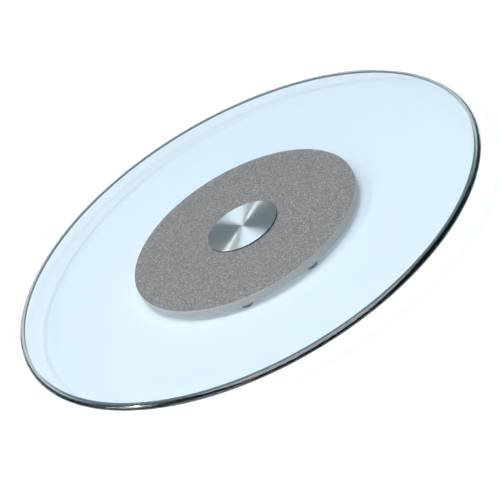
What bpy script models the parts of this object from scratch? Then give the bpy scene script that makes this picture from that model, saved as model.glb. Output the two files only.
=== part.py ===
# Glass turntable: a round tempered-glass top bonded to a brushed steel hub disc, which turns on a thrust
# ball bearing let into the middle of a round aluminium base plate that stands on rubber feet.
#
# Frame: +Z up along the spin axis. The origin is on the axis, on the surface that the feet stand on.
# Units are metres, written as millimetres times MM.

from math import cos, pi, sin

import bmesh
import bpy
from mathutils import Matrix, Vector

MM = 0.001

# Gaps between pieces
CONTACT_GAP = 0.3 * MM        # pieces that rest on, or are pressed into, each other
RUNNING_CLEARANCE = 0.1 * MM  # spindle in its bush, per side
BALL_CLEARANCE = 0.15 * MM    # ball in its groove and in its cage pocket, per side
DISC_RUNNING_GAP = 0.5 * MM   # turning disc above the still base
ROTOR_CLEARANCE = 1.3 * MM    # turning edges beside still walls, per side

# Glass top
GLASS_DIAMETER = 600 * MM
GLASS_THICKNESS = 8 * MM
GLASS_EDGE_WIDTH = 7 * MM     # flat of the glass to its rim, across the rounded edge

# Hub disc, and the adhesive that bonds it to the glass
DISC_DIAMETER = 90 * MM
DISC_THICKNESS = 1.5 * MM
DISC_CHAMFER = 0.5 * MM
DISC_LIP = 6.5 * MM           # how far the disc reaches past the bearing pocket that it covers
ADHESIVE_THICKNESS = 0.2 * MM
ADHESIVE_INSET = 1.5 * MM

# Rotor hub: a flange under the disc and a spindle down the middle
FLANGE_THICKNESS = 2.4 * MM
REGISTER_DEPTH = 1.2 * MM     # step that centres the upper race
SPINDLE_DIAMETER = 14 * MM
SPINDLE_END_FLOAT = 0.6 * MM  # bush flange to rotor flange

# Thrust ball bearing
BALL_DIAMETER = 5 * MM
BALL_COUNT = 16
GROOVE_DEPTH = 0.8 * MM
RACE_THICKNESS = 2 * MM
RACE_WIDTH = 10 * MM
RACE_EDGE_CHAMFER = 0.3 * MM
CAGE_THICKNESS = 2 * MM
CAGE_WIDTH = 8 * MM

# Spindle bush and what holds the spindle down
BUSH_WALL = 1.6 * MM
BUSH_FLANGE_WIDTH = 3 * MM
BUSH_FLANGE_THICKNESS = 1 * MM
WEAR_WASHER_THICKNESS = 1 * MM
WEAR_WASHER_DIAMETER = 26 * MM
RETAINING_WASHER_THICKNESS = 1.2 * MM
RETAINING_WASHER_DIAMETER = 24 * MM
SCREW_DIAMETER = 6 * MM
SCREW_LENGTH = 7.5 * MM       # under the head
SCREW_TIP_CHAMFER = 0.75 * MM
SCREW_RUNOUT = 0.8 * MM       # tapped hole past the screw's tip
SCREW_HEAD_DIAMETER = 10.5 * MM
SCREW_HEAD_HEIGHT = 2.2 * MM
SCREW_HEAD_EDGE_RADIUS = 1.1 * MM
SCREW_HEAD_RECESS = 0.8 * MM  # screw head inside the boss's lower face
SOCKET_ACROSS_FLATS = 4 * MM
SOCKET_DEPTH = 1.3 * MM

# Dust cap in the mouth of the counterbore
CAP_THICKNESS = 0.8 * MM
CAP_RIM = 2.5 * MM            # cap flange past the counterbore
CAP_SKIRT_HEIGHT = 1.8 * MM
CAP_SKIRT_WALL = 1 * MM

# Base plate
BASE_DIAMETER = 290 * MM
BASE_THICKNESS = 10 * MM
BASE_TOP_EDGE_RADIUS = 1 * MM
BASE_BOTTOM_EDGE_RADIUS = 1.5 * MM
RELIEF_DEPTH = 2.5 * MM          # turned out of the underside, between the boss and the foot ring
FOOT_RING_WIDTH = 22 * MM        # full-thickness ring that holds the feet
BOSS_TABLE_CLEARANCE = 1.8 * MM  # central boss above the table
BOSS_FLOOR = 3.5 * MM            # floor of the bearing pocket
BOSS_WALL = 4 * MM               # wall round the bearing pocket, below the plate
COUNTERBORE_WALL = 4 * MM
COUNTERBORE_CLEARANCE = 1 * MM   # wear washer to counterbore, per side

# Rubber feet
FOOT_PAIRS = 4
FOOT_PAIR_SPREAD = pi / 5        # angle between the two feet of a pair
FOOT_DIAMETER = 16 * MM
FOOT_EDGE_RADIUS = 2.2 * MM
FOOT_INSET = 11 * MM             # foot's centre to the base's edge
FOOT_SPIGOT_DIAMETER = 8 * MM
FOOT_SPIGOT_LENGTH = 4.5 * MM
FOOT_FIRST_PAIR = -pi / 2        # the first pair straddles the front, -Y

# How finely round shapes are faceted
LARGE_SEGMENTS = 72
BEARING_SEGMENTS = 3 * BALL_COUNT
SMALL_SEGMENTS = 32
FOOT_SEGMENTS = 16
POCKET_SEGMENTS = 12
ARC_STEPS = 3
GLASS_EDGE_STEPS = 6
GROOVE_STEPS = 6
BALL_SEGMENTS = 12
BALL_RINGS = 6
SHARP_ANGLE = pi / 6
WELD = 1e-6
CUT_MARGIN = 1 * MM              # how far a cutter runs past the face that it cuts

# Heights, worked out upwards from the table
BOSS_BOTTOM = BOSS_TABLE_CLEARANCE
POCKET_FLOOR = BOSS_BOTTOM + BOSS_FLOOR
LOWER_RACE_BOTTOM = POCKET_FLOOR + CONTACT_GAP
LOWER_RACE_TOP = LOWER_RACE_BOTTOM + RACE_THICKNESS
UPPER_RACE_BOTTOM = LOWER_RACE_TOP + BALL_DIAMETER - 2 * GROOVE_DEPTH
UPPER_RACE_TOP = UPPER_RACE_BOTTOM + RACE_THICKNESS
BALL_CENTRE = (LOWER_RACE_TOP + UPPER_RACE_BOTTOM) / 2
FLANGE_BOTTOM = UPPER_RACE_TOP + CONTACT_GAP
FLANGE_TOP = FLANGE_BOTTOM + FLANGE_THICKNESS
DISC_BOTTOM = FLANGE_TOP + CONTACT_GAP
DISC_TOP = DISC_BOTTOM + DISC_THICKNESS
ADHESIVE_BOTTOM = DISC_TOP + CONTACT_GAP
ADHESIVE_TOP = ADHESIVE_BOTTOM + ADHESIVE_THICKNESS
GLASS_BOTTOM = ADHESIVE_TOP + CONTACT_GAP
BASE_TOP = DISC_BOTTOM - DISC_RUNNING_GAP
BASE_BOTTOM = BASE_TOP - BASE_THICKNESS
RELIEF_TOP = BASE_BOTTOM + RELIEF_DEPTH
SCREW_HEAD_BOTTOM = BOSS_BOTTOM + SCREW_HEAD_RECESS
SCREW_HEAD_TOP = SCREW_HEAD_BOTTOM + SCREW_HEAD_HEIGHT
SCREW_TIP = SCREW_HEAD_TOP + SCREW_LENGTH
RETAINING_WASHER_BOTTOM = SCREW_HEAD_TOP + CONTACT_GAP
RETAINING_WASHER_TOP = RETAINING_WASHER_BOTTOM + RETAINING_WASHER_THICKNESS
SPINDLE_END = RETAINING_WASHER_TOP + CONTACT_GAP
WEAR_WASHER_BOTTOM = SPINDLE_END + CONTACT_GAP
WEAR_WASHER_TOP = WEAR_WASHER_BOTTOM + WEAR_WASHER_THICKNESS
COUNTERBORE_TOP = WEAR_WASHER_TOP + CONTACT_GAP
BUSH_FLANGE_TOP = FLANGE_BOTTOM - SPINDLE_END_FLOAT
BUSH_FLANGE_BOTTOM = BUSH_FLANGE_TOP - BUSH_FLANGE_THICKNESS
COLLAR_TOP = BUSH_FLANGE_BOTTOM - CONTACT_GAP
CAP_TOP = BOSS_BOTTOM - CONTACT_GAP

# Radii, worked out inwards from the disc and outwards from the spindle
POCKET_RADIUS = DISC_DIAMETER / 2 - DISC_LIP
LOWER_RACE_OUTER = POCKET_RADIUS - CONTACT_GAP
ROTOR_OUTER = POCKET_RADIUS - ROTOR_CLEARANCE
RACE_INNER = LOWER_RACE_OUTER - RACE_WIDTH
TRACK_RADIUS = (LOWER_RACE_OUTER + RACE_INNER) / 2
SPINDLE_RADIUS = SPINDLE_DIAMETER / 2
BUSH_INNER = SPINDLE_RADIUS + RUNNING_CLEARANCE
BUSH_OUTER = BUSH_INNER + BUSH_WALL
BUSH_BORE = BUSH_OUTER + CONTACT_GAP
COUNTERBORE_RADIUS = WEAR_WASHER_DIAMETER / 2 + COUNTERBORE_CLEARANCE
COLLAR_RADIUS = COUNTERBORE_RADIUS + COUNTERBORE_WALL
BOSS_RADIUS = POCKET_RADIUS + BOSS_WALL
SCREW_HOLE_RADIUS = SCREW_DIAMETER / 2 + CONTACT_GAP
BASE_RADIUS = BASE_DIAMETER / 2
FOOT_CIRCLE = BASE_RADIUS - FOOT_INSET
FOOT_PAD_TOP = BASE_BOTTOM - CONTACT_GAP
FOOT_SPIGOT_TOP = FOOT_PAD_TOP + FOOT_SPIGOT_LENGTH
FOOT_SOCKET_RADIUS = FOOT_SPIGOT_DIAMETER / 2 + CONTACT_GAP
FOOT_SOCKET_TOP = FOOT_SPIGOT_TOP + CONTACT_GAP


def clear_scene():
    for obj in list(bpy.data.objects):
        bpy.data.objects.remove(obj, do_unlink=True)


def make_material(name, colour, roughness, metallic=0.0, transmission=0.0):
    material = bpy.data.materials.new(name)
    material.use_nodes = True
    shader = material.node_tree.nodes["Principled BSDF"]
    shader.inputs["Base Color"].default_value = (*colour, 1.0)
    shader.inputs["Roughness"].default_value = roughness
    shader.inputs["Metallic"].default_value = metallic
    shader.inputs["Transmission Weight"].default_value = transmission
    return material


def add_object(name, mesh, material=None):
    """An object with the mesh, smooth-shaded across its shallow edges."""
    obj = bpy.data.objects.new(name, mesh)
    bpy.context.scene.collection.objects.link(obj)
    if material:
        mesh.materials.clear()
        mesh.materials.append(material)
        mesh.shade_smooth()
        mesh.set_sharp_from_angle(angle=SHARP_ANGLE)
    return obj


def mesh_from(name, build):
    """A mesh that build(bm) fills, with doubles merged and its faces turned outwards."""
    bm = bmesh.new()
    build(bm)
    bmesh.ops.remove_doubles(bm, verts=bm.verts, dist=WELD)
    bmesh.ops.recalc_face_normals(bm, faces=bm.faces)
    mesh = bpy.data.meshes.new(name)
    bm.to_mesh(mesh)
    bm.free()
    return mesh


def arc(centre_r, centre_z, radius, start, end, steps=ARC_STEPS):
    """Profile points (r, z) along an arc, both ends included, with angles in radians from +r."""
    angles = [start + (end - start) * step / steps for step in range(steps + 1)]
    return [(centre_r + radius * cos(a), centre_z + radius * sin(a)) for a in angles]


def turned_mesh(name, profile, segments):
    """A full turn about Z of the profile, a list of (r, z) that ends on the axis or else is closed up."""
    points = list(profile)
    if points[0][0] > WELD:
        points.append(points[0])

    def build(bm):
        verts = [bm.verts.new((r, 0, z)) for r, z in points]
        edges = [bm.edges.new(pair) for pair in zip(verts, verts[1:])]
        bmesh.ops.spin(bm, geom=verts + edges, axis=(0, 0, 1), angle=2 * pi, steps=segments)

    return mesh_from(name, build)


def turned(name, profile, material, segments):
    return add_object(name, turned_mesh(name, profile, segments), material)


def ring_profile(inner, outer, bottom, top):
    return [(inner, bottom), (outer, bottom), (outer, top), (inner, top)]


def polar(radius, angle, z=0.0):
    return Vector((radius * cos(angle), radius * sin(angle), z))


def add_cylinder(bm, radius, bottom, top, centre, segments):
    middle = Vector((centre.x, centre.y, (bottom + top) / 2))
    bmesh.ops.create_cone(
        bm,
        cap_ends=True,
        segments=segments,
        radius1=radius,
        radius2=radius,
        depth=top - bottom,
        matrix=Matrix.Translation(middle),
    )


def cut(target, name, build):
    """Cuts target with a hidden helper mesh that build(bm) fills."""
    cutter = add_object(name, mesh_from(name, build))
    cutter.hide_render = True
    cutter.display_type = "WIRE"
    modifier = target.modifiers.new(name, "BOOLEAN")
    modifier.operation = "DIFFERENCE"
    modifier.object = cutter


def glass_top(material):
    half = GLASS_THICKNESS / 2
    stretch = GLASS_EDGE_WIDTH / half     # the edge is half an ellipse, wider than it is tall
    edge = arc(0, GLASS_BOTTOM + half, half, -pi / 2, pi / 2, GLASS_EDGE_STEPS)
    flat_radius = GLASS_DIAMETER / 2 - GLASS_EDGE_WIDTH
    profile = [(0, GLASS_BOTTOM)]
    profile += [(flat_radius + r * stretch, z) for r, z in edge]
    profile += [(0, GLASS_BOTTOM + GLASS_THICKNESS)]
    turned("glass_top", profile, material, LARGE_SEGMENTS)


def adhesive_film(material):
    radius = DISC_DIAMETER / 2 - ADHESIVE_INSET
    profile = ring_profile(0, radius, ADHESIVE_BOTTOM, ADHESIVE_TOP)
    turned("adhesive_film", profile, material, BEARING_SEGMENTS)


def hub_disc(material):
    radius = DISC_DIAMETER / 2
    profile = [
        (0, DISC_BOTTOM),
        (radius, DISC_BOTTOM),
        (radius, DISC_TOP - DISC_CHAMFER),
        (radius - DISC_CHAMFER, DISC_TOP),
        (0, DISC_TOP),
    ]
    turned("hub_disc", profile, material, LARGE_SEGMENTS)


def rotor_hub(material):
    register_inner = COLLAR_RADIUS + ROTOR_CLEARANCE
    register_outer = RACE_INNER - CONTACT_GAP
    register_bottom = FLANGE_BOTTOM - REGISTER_DEPTH
    hole_top = SCREW_TIP + SCREW_RUNOUT
    profile = [
        (0, hole_top),
        (SCREW_HOLE_RADIUS, hole_top),
        (SCREW_HOLE_RADIUS, SPINDLE_END),
        (SPINDLE_RADIUS, SPINDLE_END),
        (SPINDLE_RADIUS, FLANGE_BOTTOM),
        (register_inner, FLANGE_BOTTOM),
        (register_inner, register_bottom),
        (register_outer, register_bottom),
        (register_outer, FLANGE_BOTTOM),
        (ROTOR_OUTER, FLANGE_BOTTOM),
        (ROTOR_OUTER, FLANGE_TOP),
        (0, FLANGE_TOP),
    ]
    turned("rotor_hub", profile, material, SMALL_SEGMENTS)


def race(name, groove_face, back_face, outer, material):
    """A race ring with its ball groove in groove_face, a height, and a plain back."""
    side = 1 if groove_face > back_face else -1
    groove = BALL_DIAMETER / 2 + BALL_CLEARANCE
    depth = abs(groove_face - BALL_CENTRE)
    half_width = (groove**2 - depth**2) ** 0.5
    chamfer_z = groove_face - side * RACE_EDGE_CHAMFER
    profile = [(RACE_INNER, chamfer_z), (RACE_INNER + RACE_EDGE_CHAMFER, groove_face)]
    for step in range(GROOVE_STEPS + 1):
        across = half_width * (2 * step / GROOVE_STEPS - 1)
        profile.append((TRACK_RADIUS + across, BALL_CENTRE - side * (groove**2 - across**2) ** 0.5))
    profile += [(outer - RACE_EDGE_CHAMFER, groove_face), (outer, chamfer_z)]
    profile += [(outer, back_face), (RACE_INNER, back_face)]
    turned(name, profile, material, BEARING_SEGMENTS)


def ball_angle(index):
    return 2 * pi * index / BALL_COUNT


def ball_cage(material):
    inner = TRACK_RADIUS - CAGE_WIDTH / 2
    outer = TRACK_RADIUS + CAGE_WIDTH / 2
    bottom = BALL_CENTRE - CAGE_THICKNESS / 2
    top = BALL_CENTRE + CAGE_THICKNESS / 2
    cage = turned("ball_cage", ring_profile(inner, outer, bottom, top), material, BEARING_SEGMENTS)
    radius = (BALL_DIAMETER / 2 + BALL_CLEARANCE) / cos(pi / POCKET_SEGMENTS)

    def pockets(bm):
        for index in range(BALL_COUNT):
            centre = polar(TRACK_RADIUS, ball_angle(index))
            add_cylinder(bm, radius, bottom - CUT_MARGIN, top + CUT_MARGIN, centre, POCKET_SEGMENTS)

    cut(cage, "cage_pockets", pockets)


def balls(material):
    """Balls share one mesh. Each one's local X is the radial line that it rolls about."""

    def build(bm):
        radius = BALL_DIAMETER / 2
        bmesh.ops.create_uvsphere(bm, u_segments=BALL_SEGMENTS, v_segments=BALL_RINGS, radius=radius)

    mesh = mesh_from("ball", build)
    for index in range(BALL_COUNT):
        ball = add_object(f"ball_{index + 1:02d}", mesh, material)
        ball.location = polar(TRACK_RADIUS, ball_angle(index), BALL_CENTRE)
        ball.rotation_euler.z = ball_angle(index)


def spindle_bush(material):
    flange = BUSH_OUTER + BUSH_FLANGE_WIDTH
    profile = [
        (BUSH_INNER, COUNTERBORE_TOP),
        (BUSH_OUTER, COUNTERBORE_TOP),
        (BUSH_OUTER, BUSH_FLANGE_BOTTOM),
        (flange, BUSH_FLANGE_BOTTOM),
        (flange, BUSH_FLANGE_TOP),
        (BUSH_INNER, BUSH_FLANGE_TOP),
    ]
    turned("spindle_bush", profile, material, SMALL_SEGMENTS)


def wear_washer(material):
    inner = SPINDLE_RADIUS + CONTACT_GAP
    outer = WEAR_WASHER_DIAMETER / 2
    profile = ring_profile(inner, outer, WEAR_WASHER_BOTTOM, WEAR_WASHER_TOP)
    turned("wear_washer", profile, material, SMALL_SEGMENTS)


def retaining_washer(material):
    outer = RETAINING_WASHER_DIAMETER / 2
    profile = ring_profile(SCREW_HOLE_RADIUS, outer, RETAINING_WASHER_BOTTOM, RETAINING_WASHER_TOP)
    turned("retaining_washer", profile, material, SMALL_SEGMENTS)


def retaining_screw(material):
    head = SCREW_HEAD_DIAMETER / 2
    shank = SCREW_DIAMETER / 2
    edge = SCREW_HEAD_EDGE_RADIUS
    profile = [(0, SCREW_HEAD_BOTTOM)]
    profile += arc(head - edge, SCREW_HEAD_BOTTOM + edge, edge, -pi / 2, 0)
    profile += [(head, SCREW_HEAD_TOP), (shank, SCREW_HEAD_TOP), (shank, SCREW_TIP - SCREW_TIP_CHAMFER)]
    profile += [(shank - SCREW_TIP_CHAMFER, SCREW_TIP), (0, SCREW_TIP)]
    screw = turned("retaining_screw", profile, material, FOOT_SEGMENTS)

    def socket(bm):
        radius = SOCKET_ACROSS_FLATS / 2 / cos(pi / 6)
        top = SCREW_HEAD_BOTTOM + SOCKET_DEPTH
        add_cylinder(bm, radius, SCREW_HEAD_BOTTOM - CUT_MARGIN, top, Vector(), 6)

    cut(screw, "screw_socket", socket)


def dust_cap(material):
    cap_radius = COUNTERBORE_RADIUS + CAP_RIM
    skirt_outer = COUNTERBORE_RADIUS - CONTACT_GAP
    skirt_inner = skirt_outer - CAP_SKIRT_WALL
    profile = [
        (0, CAP_TOP - CAP_THICKNESS),
        (cap_radius, CAP_TOP - CAP_THICKNESS),
        (cap_radius, CAP_TOP),
        (skirt_outer, CAP_TOP),
        (skirt_outer, CAP_TOP + CAP_SKIRT_HEIGHT),
        (skirt_inner, CAP_TOP + CAP_SKIRT_HEIGHT),
        (skirt_inner, CAP_TOP),
        (0, CAP_TOP),
    ]
    turned("dust_cap", profile, material, SMALL_SEGMENTS)


def base_plate(material):
    top_edge = BASE_TOP_EDGE_RADIUS
    bottom_edge = BASE_BOTTOM_EDGE_RADIUS
    ring_inner = BASE_RADIUS - FOOT_RING_WIDTH
    profile = [(POCKET_RADIUS, POCKET_FLOOR), (POCKET_RADIUS, BASE_TOP)]
    profile += arc(BASE_RADIUS - top_edge, BASE_TOP - top_edge, top_edge, pi / 2, 0)
    profile += arc(BASE_RADIUS - bottom_edge, BASE_BOTTOM + bottom_edge, bottom_edge, 0, -pi / 2)
    profile += [
        (ring_inner, BASE_BOTTOM),
        (ring_inner, RELIEF_TOP),
        (BOSS_RADIUS, RELIEF_TOP),
        (BOSS_RADIUS, BOSS_BOTTOM),
        (COUNTERBORE_RADIUS, BOSS_BOTTOM),
        (COUNTERBORE_RADIUS, COUNTERBORE_TOP),
        (BUSH_BORE, COUNTERBORE_TOP),
        (BUSH_BORE, COLLAR_TOP),
        (COLLAR_RADIUS, COLLAR_TOP),
        (COLLAR_RADIUS, POCKET_FLOOR),
    ]
    base = turned("base_plate", profile, material, LARGE_SEGMENTS)

    def sockets(bm):
        for index in range(2 * FOOT_PAIRS):
            centre = polar(FOOT_CIRCLE, foot_angle(index))
            bottom = BASE_BOTTOM - CUT_MARGIN
            add_cylinder(bm, FOOT_SOCKET_RADIUS, bottom, FOOT_SOCKET_TOP, centre, FOOT_SEGMENTS)

    cut(base, "foot_sockets", sockets)


def foot_angle(index):
    pair, second = divmod(index, 2)
    side = FOOT_PAIR_SPREAD * (second - 0.5)
    return FOOT_FIRST_PAIR + 2 * pi * pair / FOOT_PAIRS + side


def feet(material):
    """Feet share one mesh: a pad with a rounded lower edge, and a spigot that pushes into the base."""
    radius = FOOT_DIAMETER / 2
    spigot = FOOT_SPIGOT_DIAMETER / 2
    edge = FOOT_EDGE_RADIUS
    profile = [(0, 0)]
    profile += arc(radius - edge, edge, edge, -pi / 2, 0)
    profile += [(radius, FOOT_PAD_TOP), (spigot, FOOT_PAD_TOP)]
    profile += [(spigot, FOOT_SPIGOT_TOP), (0, FOOT_SPIGOT_TOP)]
    mesh = turned_mesh("foot", profile, FOOT_SEGMENTS)
    for index in range(2 * FOOT_PAIRS):
        foot = add_object(f"foot_{index + 1:02d}", mesh, material)
        foot.location = polar(FOOT_CIRCLE, foot_angle(index))


def main():
    clear_scene()
    glass = make_material("glass", (0.78, 0.93, 0.97), 0.02, transmission=1.0)
    adhesive = make_material("clear_adhesive", (0.9, 0.93, 0.93), 0.1, transmission=0.9)
    stainless = make_material("brushed_stainless", (0.66, 0.68, 0.69), 0.28, metallic=1.0)
    sparkle = make_material("sparkle_aluminium", (0.36, 0.37, 0.375), 0.55, metallic=0.7)
    machined = make_material("machined_aluminium", (0.72, 0.73, 0.74), 0.35, metallic=1.0)
    bearing_steel = make_material("bearing_steel", (0.7, 0.7, 0.71), 0.15, metallic=1.0)
    zinc = make_material("zinc_plated_steel", (0.68, 0.7, 0.72), 0.3, metallic=1.0)
    nylon = make_material("white_nylon", (0.82, 0.81, 0.76), 0.5)
    bronze = make_material("sintered_bronze", (0.55, 0.36, 0.18), 0.45, metallic=1.0)
    black_plastic = make_material("black_plastic", (0.03, 0.03, 0.032), 0.45)
    rubber = make_material("grey_rubber", (0.2, 0.21, 0.22), 0.6)

    glass_top(glass)
    adhesive_film(adhesive)
    hub_disc(stainless)
    rotor_hub(machined)
    race("upper_race", UPPER_RACE_BOTTOM, UPPER_RACE_TOP, ROTOR_OUTER, bearing_steel)
    race("lower_race", LOWER_RACE_TOP, LOWER_RACE_BOTTOM, LOWER_RACE_OUTER, bearing_steel)
    ball_cage(nylon)
    balls(bearing_steel)
    spindle_bush(bronze)
    wear_washer(nylon)
    retaining_washer(zinc)
    retaining_screw(zinc)
    dust_cap(black_plastic)
    base_plate(sparkle)
    feet(rubber)


main()
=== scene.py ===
import math

import bpy
from mathutils import Matrix, Vector


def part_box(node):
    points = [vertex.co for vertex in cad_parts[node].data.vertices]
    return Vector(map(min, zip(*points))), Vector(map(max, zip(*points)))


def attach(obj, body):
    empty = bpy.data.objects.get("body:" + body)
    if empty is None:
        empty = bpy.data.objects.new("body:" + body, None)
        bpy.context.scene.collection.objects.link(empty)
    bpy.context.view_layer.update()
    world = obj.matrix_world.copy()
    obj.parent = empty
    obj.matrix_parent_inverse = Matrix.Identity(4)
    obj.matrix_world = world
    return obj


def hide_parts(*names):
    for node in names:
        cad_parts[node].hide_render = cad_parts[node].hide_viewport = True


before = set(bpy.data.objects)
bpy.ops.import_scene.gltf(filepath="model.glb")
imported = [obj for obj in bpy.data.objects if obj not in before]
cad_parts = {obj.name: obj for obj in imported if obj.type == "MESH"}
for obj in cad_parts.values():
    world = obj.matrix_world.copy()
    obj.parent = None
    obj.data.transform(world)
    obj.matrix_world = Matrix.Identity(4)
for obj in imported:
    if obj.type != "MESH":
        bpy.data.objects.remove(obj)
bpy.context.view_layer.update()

mm = 0.001
print("frame loaded:", len(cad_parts), "nodes")


def nodeHeights(node):
    low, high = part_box(node)
    return low.z, high.z


def nodeRadius(node):
    low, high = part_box(node)
    return (high.x - low.x) / 2


def nodeCentre(node):
    low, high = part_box(node)
    return (Vector(low) + Vector(high)) / 2


def startPiece(name):
    piece = bpy.context.object
    piece.name = name
    piece.data.name = name
    bpy.ops.object.mode_set(mode="EDIT")
    bpy.ops.mesh.select_mode(type="VERT")
    return piece


def turn(name, outline, segments):
    # an outline of (radius, height) points in the XZ plane, spun once round Z
    bpy.ops.object.select_all(action="DESELECT")
    start = Vector((outline[0][0], 0, outline[0][1]))
    bpy.ops.mesh.primitive_plane_add(size=mm, location=start)
    piece = startPiece(name)
    bpy.ops.mesh.merge(type="CENTER")     # leaves one vertex to draw the outline with
    closed = outline if outline[0][0] < 1e-6 else outline + [outline[0]]
    for (r0, z0), (r1, z1) in zip(closed, closed[1:]):
        bpy.ops.mesh.extrude_region_move(TRANSFORM_OT_translate={"value": (r1 - r0, 0, z1 - z0)})
    bpy.ops.mesh.select_all(action="SELECT")
    bpy.ops.mesh.spin(steps=segments, angle=2 * math.pi, center=(0, 0, 0), axis=(0, 0, 1))
    bpy.ops.mesh.select_all(action="SELECT")
    bpy.ops.mesh.remove_doubles(threshold=1e-6)
    bpy.ops.mesh.normals_make_consistent(inside=False)
    bpy.ops.object.mode_set(mode="OBJECT")
    bpy.ops.object.transform_apply(location=True, rotation=True, scale=True)
    return piece


def breakEdges(piece, width, steps=2, angle=40):
    # a small bevel on every edge sharper than angle
    bpy.context.view_layer.objects.active = piece
    bpy.ops.object.mode_set(mode="EDIT")
    bpy.ops.mesh.select_mode(type="EDGE")
    bpy.ops.mesh.select_all(action="DESELECT")
    bpy.ops.mesh.edges_select_sharp(sharpness=math.radians(angle))
    bpy.ops.mesh.bevel(offset=width, segments=steps, clamp_overlap=True)
    bpy.ops.object.mode_set(mode="OBJECT")


def finishPiece(piece, material, body, slot, *nodes):
    bpy.ops.object.select_all(action="DESELECT")
    piece.select_set(True)
    bpy.context.view_layer.objects.active = piece
    bpy.ops.object.transform_apply(location=True, rotation=True, scale=True)
    bpy.ops.object.shade_smooth_by_angle(angle=math.radians(35))
    bpy.ops.object.modifier_add(type="WEIGHTED_NORMAL")
    piece.modifiers[-1].keep_sharp = True
    bpy.ops.object.modifier_apply(modifier=piece.modifiers[-1].name)
    piece.data.materials.clear()
    piece.data.materials.append(material)
    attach(piece, body)
    if nodes:
        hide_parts(*nodes)


def arc(centreR, centreZ, radius, start, end, steps):
    turns = [math.radians(start + (end - start) * k / steps) for k in range(steps + 1)]
    return [(centreR + radius * math.cos(t), centreZ + radius * math.sin(t)) for t in turns]


class Nodes:
    # a short way to add shader nodes and link them
    def __init__(self, name):
        self.material = bpy.data.materials.new(name)
        self.material.use_nodes = True
        self.tree = self.material.node_tree
        self.tree.nodes.clear()
        self.output = self.tree.nodes.new("ShaderNodeOutputMaterial")

    def add(self, kind, inputs=None, **settings):
        node = self.tree.nodes.new("ShaderNode" + kind)
        for key, value in settings.items():
            setattr(node, key, value)
        for key, value in (inputs or {}).items():
            socket = node.inputs[key]
            if isinstance(value, bpy.types.NodeSocket):
                self.tree.links.new(value, socket)
            else:
                socket.default_value = value
        return node

    def math(self, operation, a, b=0.0, clamp=False):
        return self.add("Math", {0: a, 1: b}, operation=operation, use_clamp=clamp).outputs[0]

    def ramp(self, value, low, high, lowTo=0.0, highTo=1.0):
        settings = {"Value": value, "From Min": low, "From Max": high, "To Min": lowTo, "To Max": highTo}
        return self.add("MapRange", settings).outputs["Result"]

    def mixColour(self, share, a, b, mode="MIX"):
        node = self.add("Mix", {0: share, 6: a, 7: b}, data_type="RGBA", blend_type=mode)
        return node.outputs[2]

    def objectPoint(self):
        return self.add("TexCoord").outputs["Object"]

    def surface(self, shader):
        self.tree.links.new(shader, self.output.inputs["Surface"])
        return self.material


glassLook = {
    "tint": (0.86, 0.935, 1.0, 1),
    "lampTint": (0.995, 0.998, 1.0, 1),
    "ior": 1.52,
    "depthTint": (0.55, 0.72, 0.74, 1),    # what a long way through the glass leaves
    "depthDensity": 7.0,
    "edgeShadeTint": (0.66, 0.74, 0.75, 1),     # the edge is tinted greyer: painted shade that darkens the edge band
    "edgeClear": 1.0, "edgeRoughness": 0.18, "edgeGloss": 1.0,
}


def makeGlass(name, tint, clear, roughness, gloss):
    n = Nodes(name)
    glass = n.add("BsdfPrincipled", {
        "Base Color": tint, "Roughness": roughness, "Transmission Weight": clear,
        "IOR": glassLook["ior"], "Coat Weight": gloss, "Coat Roughness": 0.04,
    })
    plain = n.add("BsdfTransparent", {"Color": glassLook["lampTint"]})
    ray = n.add("LightPath")
    lamp = n.math("MAXIMUM", ray.outputs["Is Shadow Ray"], ray.outputs["Is Diffuse Ray"])
    mix = n.add("MixShader", {0: lamp, 1: glass.outputs[0], 2: plain.outputs[0]})
    depth = n.add("VolumeAbsorption", {
        "Color": glassLook["depthTint"], "Density": glassLook["depthDensity"],
    })
    n.tree.links.new(depth.outputs[0], n.output.inputs["Volume"])
    return n.surface(mix.outputs[0])


def makeAdhesive():
    n = Nodes("bondingFilm")
    film = n.add("BsdfPrincipled", {"Base Color": (0.95, 0.97, 0.97, 1), "Roughness": 0.1, "Alpha": 0.04})
    return n.surface(film.outputs[0])


discLook = {
    "colour": (0.88, 0.86, 0.82, 1), "dimColour": (0.84, 0.82, 0.78, 1),
    "roughness": 0.41, "roughnessDrift": 0.02,
    "anisotropy": 1.0, "anisotropyTurn": 0.25,
    "grainAround": 1.2, "grainAcross": 2600.0,      # long round the disc, fine across it
}


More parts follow.
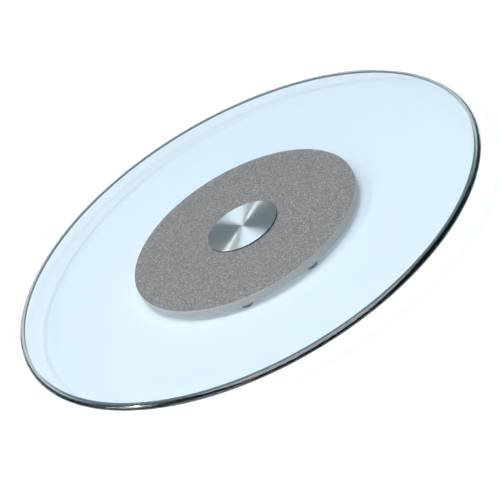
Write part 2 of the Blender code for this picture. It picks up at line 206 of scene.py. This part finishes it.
def makeBrushedDisc():
    n = Nodes("brushedStainless")
    point = n.objectPoint()
    flat = n.add("VectorMath", {0: point, 1: (1, 1, 0)}, operation="MULTIPLY").outputs[0]
    radius = n.add("VectorMath", {0: flat}, operation="LENGTH").outputs["Value"]
    around = n.add("VectorMath", {0: flat}, operation="NORMALIZE").outputs[0]
    stretch = (discLook["grainAround"], discLook["grainAround"], 0)
    along = n.add("VectorMath", {0: around, 1: stretch}, operation="MULTIPLY").outputs[0]
    out = n.add("CombineXYZ", {"Z": n.math("MULTIPLY", radius, discLook["grainAcross"])}).outputs[0]
    where = n.add("VectorMath", {0: along, 1: out}, operation="ADD").outputs[0]
    brushing = n.add("TexNoise", {"Vector": where, "Scale": 1.0, "Detail": 2.0, "Roughness": 0.6})
    grain = brushing.outputs["Fac"]
    colour = n.mixColour(n.ramp(grain, 0.3, 0.7), discLook["dimColour"], discLook["colour"])
    smooth = discLook["roughness"] - discLook["roughnessDrift"]
    coarse = discLook["roughness"] + discLook["roughnessDrift"]
    rough = n.ramp(grain, 0.3, 0.7, smooth, coarse)
    bump = n.add("Bump", {"Strength": 0.01, "Distance": 0.00001, "Height": grain})
    tangent = n.add("Tangent", direction_type="RADIAL", axis="Z")
    shader = n.add("BsdfPrincipled", {
        "Base Color": colour, "Metallic": 1.0, "Roughness": rough, "Anisotropic": discLook["anisotropy"],
        "Anisotropic Rotation": discLook["anisotropyTurn"], "Tangent": tangent.outputs[0],
        "Normal": bump.outputs[0],
    })
    return n.surface(shader.outputs[0])


baseLook = {
    "dark": (0.228, 0.194, 0.172, 1),
    "light": (0.43, 0.366, 0.325, 1),
    "fleck": (0.80, 0.73, 0.68, 1),
    "fleckShare": 0.10, "fleckCover": 0.75,
    "roughness": 0.55,
    "metallic": 0.2,
    "cell": 1.7 * mm, "fineCell": 0.85 * mm,
    "coarseShare": 0.55, "fineShare": 0.45,
    "skinScale": 1400.0,
}


def makeSparkle():
    n = Nodes("sparkleAluminium")
    point = n.objectPoint()
    coarse = n.add("TexVoronoi", {"Vector": point, "Scale": 1 / baseLook["cell"]}, feature="F1")
    fine = n.add("TexVoronoi", {"Vector": point, "Scale": 1 / baseLook["fineCell"]}, feature="F1")
    large = n.add("SeparateColor", {"Color": coarse.outputs["Color"]}).outputs[0]
    small = n.add("SeparateColor", {"Color": fine.outputs["Color"]}).outputs[0]
    pick = n.add("SeparateColor", {"Color": fine.outputs["Color"]}).outputs[1]
    large = n.math("MULTIPLY", large, baseLook["coarseShare"])
    small = n.math("MULTIPLY", small, baseLook["fineShare"])
    tone = n.math("ADD", large, small)
    colour = n.mixColour(n.ramp(tone, 0.1, 0.9), baseLook["dark"], baseLook["light"])
    spark = n.math("GREATER_THAN", pick, 1 - baseLook["fleckShare"])
    colour = n.mixColour(n.math("MULTIPLY", spark, baseLook["fleckCover"]), colour, baseLook["fleck"])
    skin = n.add("TexNoise", {"Vector": point, "Scale": baseLook["skinScale"], "Detail": 2.0})
    bump = n.add("Bump", {"Strength": 0.2, "Distance": 0.0001, "Height": skin.outputs["Fac"]})
    shader = n.add("BsdfPrincipled", {
        "Base Color": colour, "Metallic": baseLook["metallic"], "Roughness": baseLook["roughness"],
        "Normal": bump.outputs[0],
    })
    return n.surface(shader.outputs[0])


def makePlain(name, colour, roughness, metallic=0.0, grain=900.0, depth=0.00005, spread=0.12):
    # a finish whose tone and polish drift a little, with a fine grain
    n = Nodes(name)
    point = n.objectPoint()
    texture = n.add("TexNoise", {"Vector": point, "Scale": grain, "Detail": 3.0, "Roughness": 0.6})
    noise = texture.outputs["Fac"]
    dim = tuple(c * (1 - spread) for c in colour)
    lit = tuple(min(1.0, c * (1 + spread)) for c in colour)
    shade = n.mixColour(n.ramp(noise, 0.25, 0.75), (*dim, 1), (*lit, 1))
    rough = n.ramp(noise, 0.25, 0.75, max(0.03, roughness - 0.06), min(1.0, roughness + 0.06))
    bump = n.add("Bump", {"Strength": 0.3, "Distance": depth, "Height": noise})
    shader = n.add("BsdfPrincipled", {
        "Base Color": shade, "Metallic": metallic, "Roughness": rough, "Normal": bump.outputs[0],
    })
    return n.surface(shader.outputs[0])


glassMaterial = makeGlass("temperedGlass", glassLook["tint"], 1.0, 0.0, 0.0)
# the edge glass wears the greyer tint, painted shade on its band
edgeMaterial = makeGlass(
    "polishedGlassEdge", glassLook["edgeShadeTint"], glassLook["edgeClear"],
    glassLook["edgeRoughness"], glassLook["edgeGloss"])
adhesiveMaterial = makeAdhesive()
discMaterial = makeBrushedDisc()
sparkleMaterial = makeSparkle()
wallMaterial = makePlain("satinAluminium", (0.58, 0.54, 0.50), 0.5, 0.1, depth=0.00002, spread=0.04)
# near-black metal on the disc's side wall: painted shade for the dark shadow gap under the disc's edge
gapShadeMaterial = makePlain("paintedGapShade", (0.09, 0.095, 0.1), 0.5, 1.0)
rubberMaterial = makePlain("greyRubber", (0.32, 0.33, 0.335), 0.6, grain=1500.0)
# near-black colour on the foot's sole pad: painted shade for the contact shade along the foot's underside
soleShadeMaterial = makePlain("paintedSoleShade", (0.05, 0.053, 0.056), 0.7, grain=1500.0)
machinedMaterial = makePlain("machinedAluminium", (0.72, 0.73, 0.74), 0.35, 1.0)
bearingMaterial = makePlain("bearingSteel", (0.7, 0.7, 0.71), 0.14, 1.0, depth=0.00001)
zincMaterial = makePlain("zincPlate", (0.68, 0.7, 0.72), 0.3, 1.0)
nylonMaterial = makePlain("whiteNylon", (0.82, 0.81, 0.76), 0.5)
bronzeMaterial = makePlain("sinteredBronze", (0.55, 0.36, 0.18), 0.45, 1.0)
plasticMaterial = makePlain("blackPlastic", (0.03, 0.03, 0.032), 0.45)
print("materials made")


glassShape = {
    "edgeWidth": 7 * mm,      # flat of the glass to its rim
    "faceInset": 2 * mm,      # the ring of the flat next to the edge
    "edgeSteps": 24,
    "segments": 256,
}


def paintFaces(piece, material, test):
    # gives the faces that test() picks by centre and normal a second material
    piece.data.materials.append(material)
    for face in piece.data.polygons:
        if test(face.center, face.normal):
            face.material_index = len(piece.data.materials) - 1


def makeGlassTop():
    bottom, top = nodeHeights("glass_top")
    flat = nodeRadius("glass_top") - glassShape["edgeWidth"]
    half = (top - bottom) / 2
    stretch = glassShape["edgeWidth"] / half
    edge = arc(0, bottom + half, half, -90, 90, glassShape["edgeSteps"])
    outline = [(0, bottom), (flat - glassShape["faceInset"], bottom)]
    outline += [(flat + r * stretch, z) for r, z in edge]
    outline += [(flat - glassShape["faceInset"], top), (0, top)]
    piece = turn("tempered_glass", outline, glassShape["segments"])
    finishPiece(piece, glassMaterial, "turntable", "glass", "glass_top")
    paintFaces(piece, edgeMaterial, lambda centre, normal: math.hypot(centre.x, centre.y) > flat)


discShape = {
    "topRound": 0.3 * mm, "roundSteps": 4, "lowerBevel": 0.2 * mm,
    "faceInset": 1 * mm,      # the ring of the face next to the rounded edge
    "segments": 256,
}


def makeHubDisc():
    bottom, top = nodeHeights("hub_disc")
    radius = nodeRadius("hub_disc")
    edge, bevel = discShape["topRound"], discShape["lowerBevel"]
    outline = [(0, bottom), (radius - bevel, bottom), (radius, bottom + bevel)]
    outline += arc(radius - edge, top - edge, edge, 0, 90, discShape["roundSteps"])
    outline += [(radius - edge - discShape["faceInset"], top), (0, top)]
    piece = turn("brushed_disc", outline, discShape["segments"])
    finishPiece(piece, discMaterial, "turntable", "brushed_stainless", "hub_disc")
    # the disc's side wall below its rounded top gets the painted gap shade
    paintFaces(
        piece, gapShadeMaterial, lambda centre, normal: centre.z < top - edge and abs(normal.z) < 0.8)


filmShape = {"bulge": 0.1 * mm, "segments": 128}


def makeFilm():
    bottom, top = nodeHeights("adhesive_film")
    radius = nodeRadius("adhesive_film")
    flat = radius - filmShape["bulge"]
    outline = [(0, bottom), (flat, bottom), (radius, (bottom + top) / 2), (flat, top), (0, top)]
    piece = turn("bonding_film", outline, filmShape["segments"])
    finishPiece(piece, adhesiveMaterial, "turntable", "adhesive", "adhesive_film")


basePlate = {
    "thickness": 10 * mm, "topRound": 1 * mm, "bottomRound": 1.5 * mm,
    "pocketRadius": 38.5 * mm, "pocketFloor": 5.3 * mm,      # where the bearing sits
    "collarRadius": 18 * mm, "collarTop": 11.1 * mm, "bushBore": 9 * mm,
    "counterbore": 14 * mm, "counterboreTop": 8.2 * mm,
    "bossRadius": 42.5 * mm, "ringWidth": 22 * mm, "relief": 2.5 * mm,
    "socketRadius": 4.3 * mm, "socketTop": 10 * mm,
    "brokenEdge": 0.25 * mm, "roundSteps": 8, "segments": 192,
    "faceInset": 1 * mm,          # the ring of the top next to the rounded edge
    "skin": 0.05 * mm,            # faces this near the top wear the sparkle
    "drillSides": 48, "drillMargin": 2 * mm,
}

footPlaces = [nodeCentre(name) for name in sorted(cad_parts) if name.startswith("foot_")]


def makeBasePlate():
    b = basePlate
    bossBottom, top = nodeHeights("base_plate")
    radius = nodeRadius("base_plate")
    bottom = top - b["thickness"]
    outline = [(b["pocketRadius"], b["pocketFloor"]), (b["pocketRadius"], top)]
    outline += [(radius - b["topRound"] - b["faceInset"], top)]
    upper, lower, steps = b["topRound"], b["bottomRound"], b["roundSteps"]
    outline += arc(radius - upper, top - upper, upper, 90, 0, steps)
    outline += arc(radius - lower, bottom + lower, lower, 0, -90, steps)
    outline += [
        (radius - b["ringWidth"], bottom), (radius - b["ringWidth"], bottom + b["relief"]),
        (b["bossRadius"], bottom + b["relief"]), (b["bossRadius"], bossBottom),
        (b["counterbore"], bossBottom), (b["counterbore"], b["counterboreTop"]),
        (b["bushBore"], b["counterboreTop"]), (b["bushBore"], b["collarTop"]),
        (b["collarRadius"], b["collarTop"]), (b["collarRadius"], b["pocketFloor"]),
    ]
    piece = turn("bearing_base_plate", outline, b["segments"])
    breakEdges(piece, b["brokenEdge"])
    for place in footPlaces:
        bpy.ops.object.select_all(action="DESELECT")
        middle = (place.x, place.y, (b["socketTop"] + bottom - b["drillMargin"]) / 2)
        reach = b["socketTop"] - bottom + b["drillMargin"]
        bpy.ops.mesh.primitive_cylinder_add(
            vertices=b["drillSides"], radius=b["socketRadius"], depth=reach, location=middle)
        drill = bpy.context.object
        bpy.context.view_layer.objects.active = piece
        bpy.ops.object.modifier_add(type="BOOLEAN")
        piece.modifiers[-1].object = drill
        piece.modifiers[-1].operation = "DIFFERENCE"
        bpy.ops.object.modifier_apply(modifier=piece.modifiers[-1].name)
        bpy.data.objects.remove(drill)
    finishPiece(piece, wallMaterial, "base", "sparkle_aluminium", "base_plate")
    paintFaces(
        piece, sparkleMaterial, lambda centre, normal: centre.z > top - b["skin"] and normal.z > 0.9)


footShape = {
    "round": 2.2 * mm, "roundEnd": -12, "roundSteps": 7, "soleFlat": 0.5,
    "sole": 1.8 * mm, "soleShadeMargin": 0.1 * mm,
    "groove": 0.3 * mm,
    "grooveFloor": 0.2 * mm, "grooveRoof": 0.45 * mm, "grooveEnd": 0.8 * mm,    # heights above the sole
    "padTop": 5.2 * mm, "shoulder": 0.5 * mm, "shoulderMiddle": 0.15 * mm,
    "spigotRadius": 4 * mm, "spigotChamfer": 0.8 * mm, "segments": 64,
}


def makeFeet():
    f = footShape
    bottom, top = nodeHeights("foot_01")
    radius = nodeRadius("foot_01")
    outline = [(0, bottom), (radius * f["soleFlat"], bottom)]
    outline += arc(
        radius - f["round"], bottom + f["round"], f["round"], -90, f["roundEnd"], f["roundSteps"])
    outline += [
        (radius - f["groove"], f["sole"] + f["grooveFloor"]),
        (radius - f["groove"], f["sole"] + f["grooveRoof"]),
        (radius, f["sole"] + f["grooveEnd"]), (radius, f["padTop"] - f["shoulder"]),
        (radius - f["shoulderMiddle"], f["padTop"] - f["shoulderMiddle"]),
        (radius - f["shoulder"], f["padTop"]),
        (f["spigotRadius"], f["padTop"]), (f["spigotRadius"], top - f["spigotChamfer"]),
        (f["spigotRadius"] - f["spigotChamfer"], top), (0, top),
    ]
    pattern = turn("foot_pattern", outline, f["segments"])
    for index, place in enumerate(footPlaces):
        foot = pattern.copy()
        foot.data = pattern.data.copy()
        bpy.context.scene.collection.objects.link(foot)
        foot.name = foot.data.name = f"rubber_foot_{index + 1:02d}"
        foot.location = (place.x, place.y, 0)
        finishPiece(foot, rubberMaterial, "base", "rubber", f"foot_{index + 1:02d}")
        # the faces of the sole get the painted contact shade
        paintFaces(foot, soleShadeMaterial, lambda centre, normal: centre.z < f["sole"] + f["soleShadeMargin"])
    bpy.data.objects.remove(pattern)


capShape = {
    "face": 0.8 * mm, "skirtOuter": 13.7 * mm, "skirtInner": 12.7 * mm, "skirtChamfer": 0.3 * mm,
    "round": 0.3 * mm, "roundSteps": 5, "bevel": 0.15 * mm,
    "dish": 0.2 * mm, "dishInset": 4.2 * mm, "rimWidth": 3.8 * mm, "segments": 96,
}


def makeDustCap():
    c = capShape
    bottom, top = nodeHeights("dust_cap")
    radius = nodeRadius("dust_cap")
    face = bottom + c["face"]
    dish = bottom + c["dish"]
    outline = [(0, dish), (radius - c["dishInset"], dish), (radius - c["rimWidth"], bottom)]
    outline += arc(radius - c["round"], bottom + c["round"], c["round"], -90, 0, c["roundSteps"])
    outline += [
        (radius, face - c["bevel"]), (radius - c["bevel"], face), (c["skirtOuter"], face),
        (c["skirtOuter"], top - c["skirtChamfer"]), (c["skirtOuter"] - c["skirtChamfer"], top),
        (c["skirtInner"], top), (c["skirtInner"], face), (0, face),
    ]
    piece = turn("moulded_dust_cap", outline, c["segments"])
    finishPiece(piece, plasticMaterial, "base", "black_plastic", "dust_cap")


ballShape = {"count": 16, "cuts": 9}


def makeBalls():
    # a cube, divided and drawn out to a ball, so that it has no poles
    bottom, top = nodeHeights("ball_01")
    radius = (top - bottom) / 2
    bpy.ops.object.select_all(action="DESELECT")
    bpy.ops.mesh.primitive_cube_add(size=2 * radius, location=(0, 0, 0))
    pattern = bpy.context.object
    bpy.ops.object.mode_set(mode="EDIT")
    bpy.ops.mesh.select_all(action="SELECT")
    bpy.ops.mesh.subdivide(number_cuts=ballShape["cuts"])
    bpy.ops.transform.tosphere(value=1)
    bpy.ops.object.mode_set(mode="OBJECT")
    scale = radius / max(v.co.length for v in pattern.data.vertices)
    pattern.scale = (scale, scale, scale)
    for index in range(ballShape["count"]):
        node = f"ball_{index + 1:02d}"
        ball = pattern.copy()
        ball.data = pattern.data.copy()
        bpy.context.scene.collection.objects.link(ball)
        ball.name = ball.data.name = f"steel_{node}"
        ball.location = nodeCentre(node)
        finishPiece(ball, bearingMaterial, node, "bearing_steel", node)
    bpy.data.objects.remove(pattern)


makeGlassTop()
makeHubDisc()
makeFilm()
print("turning pieces made")
makeBasePlate()
makeFeet()
makeDustCap()
print("base pieces made")
makeBalls()
print("balls made")

nodeMaterials = {
    "rotor_hub": machinedMaterial, "upper_race": bearingMaterial, "lower_race": bearingMaterial,
    "ball_cage": nylonMaterial, "spindle_bush": bronzeMaterial, "wear_washer": nylonMaterial,
    "retaining_washer": zincMaterial, "retaining_screw": zincMaterial,
}
for name, material in nodeMaterials.items():
    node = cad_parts[name]
    node.data.materials.clear()
    node.data.materials.append(material)
print("materials on the pieces kept from the frame")


floorLook = {
    "size": 24.0, "drop": 0.2 * mm,      # just under the feet
    "colour": (0.84, 0.86, 0.88, 1), "glow": (0.25, 0.28, 0.30, 1),
}


def makeFloor():
    bpy.ops.object.select_all(action="DESELECT")
    bpy.ops.mesh.primitive_plane_add(size=floorLook["size"], location=(0, 0, -floorLook["drop"]))
    floor = bpy.context.object
    floor.name = "floor"
    n = Nodes("paleFloor")
    shader = n.add("BsdfPrincipled", {
        "Base Color": floorLook["colour"], "Roughness": 0.9, "Specular IOR Level": 0.1,
        "Emission Color": floorLook["glow"], "Emission Strength": 1.0,
    })
    floor.data.materials.append(n.surface(shader.outputs[0]))


def areaLight(name, toward, distance, size, power, colour=(1, 1, 1)):
    direction = Vector(toward).normalized()
    data = bpy.data.lights.new(name, "AREA")
    data.shape = "RECTANGLE"
    data.size, data.size_y = size
    data.energy = power
    data.color = colour
    lamp = bpy.data.objects.new(name, data)
    bpy.context.scene.collection.objects.link(lamp)
    lamp.location = direction * distance
    lamp.rotation_mode = "QUATERNION"
    lamp.rotation_quaternion = direction.to_track_quat("Z", "Y")


studio = {
    "dim": (0.02, 0.045, 0.055, 1),
    "horizon": (0.05, 0.08, 0.10, 1),     # a pale band round the horizon, left out in front
    "bandTop": 0.32, "bandFull": 0.12,
    "frontDark": -0.75, "sideLight": -0.25,
}


def makeWorld():
    world = bpy.data.worlds.new("studio")
    bpy.context.scene.world = world
    world.use_nodes = True
    nodes, links = world.node_tree.nodes, world.node_tree.links
    back = nodes["Background"]
    way = nodes.new("ShaderNodeSeparateXYZ")
    links.new(nodes.new("ShaderNodeTexCoord").outputs["Generated"], way.inputs[0])

    def ramp(socket, low, high):
        node = nodes.new("ShaderNodeMapRange")
        node.interpolation_type = "SMOOTHSTEP"
        node.inputs["From Min"].default_value, node.inputs["From Max"].default_value = low, high
        links.new(socket, node.inputs["Value"])
        return node.outputs["Result"]

    band = nodes.new("ShaderNodeMath")
    band.operation = "MULTIPLY"
    links.new(ramp(way.outputs["Z"], studio["bandTop"], studio["bandFull"]), band.inputs[0])
    links.new(ramp(way.outputs["Y"], studio["frontDark"], studio["sideLight"]), band.inputs[1])
    mix = nodes.new("ShaderNodeMix")
    mix.data_type = "RGBA"
    links.new(band.outputs[0], mix.inputs[0])
    mix.inputs[6].default_value = studio["dim"]
    mix.inputs[7].default_value = studio["horizon"]
    links.new(mix.outputs[2], back.inputs["Color"])


cameraView = {
    "distance": 1.9614, "elevation": 29.418, "azimuth": -1.25, "roll": 30.514,
    "sensorWidth": 36.0, "lens": 119.7216,              # in mm
    "aimRight": 0.0074596425, "aimDown": 0.0162640024,  # in metres, from the glass's underside
}


def makeCamera():
    data = bpy.data.cameras.new("camera")
    data.sensor_width = cameraView["sensorWidth"]
    data.lens = cameraView["lens"]
    data.clip_end = 100
    camera = bpy.data.objects.new("camera", data)
    bpy.context.scene.collection.objects.link(camera)
    e, a = math.radians(cameraView["elevation"]), math.radians(cameraView["azimuth"])
    target = Vector((0, 0, nodeHeights("glass_top")[0]))
    away = Vector((math.sin(a) * math.cos(e), -math.cos(a) * math.cos(e), math.sin(e)))
    side = Vector((math.cos(a), math.sin(a), 0))
    up = away.cross(side)
    r = math.radians(cameraView["roll"])
    right = math.cos(r) * side - math.sin(r) * up
    lift = math.sin(r) * side + math.cos(r) * up
    aim = target + right * cameraView["aimRight"] - lift * cameraView["aimDown"]
    place = target + away * cameraView["distance"]
    back = (place - aim).normalized()
    right = lift.cross(back).normalized()
    lift = back.cross(right)
    camera.matrix_world = Matrix.Translation(place) @ Matrix((right, lift, back)).transposed().to_4x4()
    bpy.context.scene.camera = camera


makeFloor()
makeWorld()
areaLight("overhead", (0, -0.05, 1), 3.2, (2.5, 3.2), 97, (0.93, 0.965, 1.0))
areaLight("key", (-0.6, 0.25, 0.76), 4.4, (0.1, 0.1), 36, (1.0, 0.95, 0.88))
areaLight("leftGlow", (-0.8, 0.1, 0.6), 4.6, (1.2, 1.2), 26, (1.0, 0.97, 0.93))
areaLight("left", (-0.70, 0.70, 0.06), 4.0, (2.0, 0.5), 10)
areaLight("right", (0.62, 0.78, 0.06), 4.0, (3.0, 0.5), 32)
areaLight("frontLeft", (-0.7, -0.65, 0.3), 4.0, (2.4, 1.4), 34)
makeCamera()
bpy.context.scene.view_settings.view_transform = "Standard"
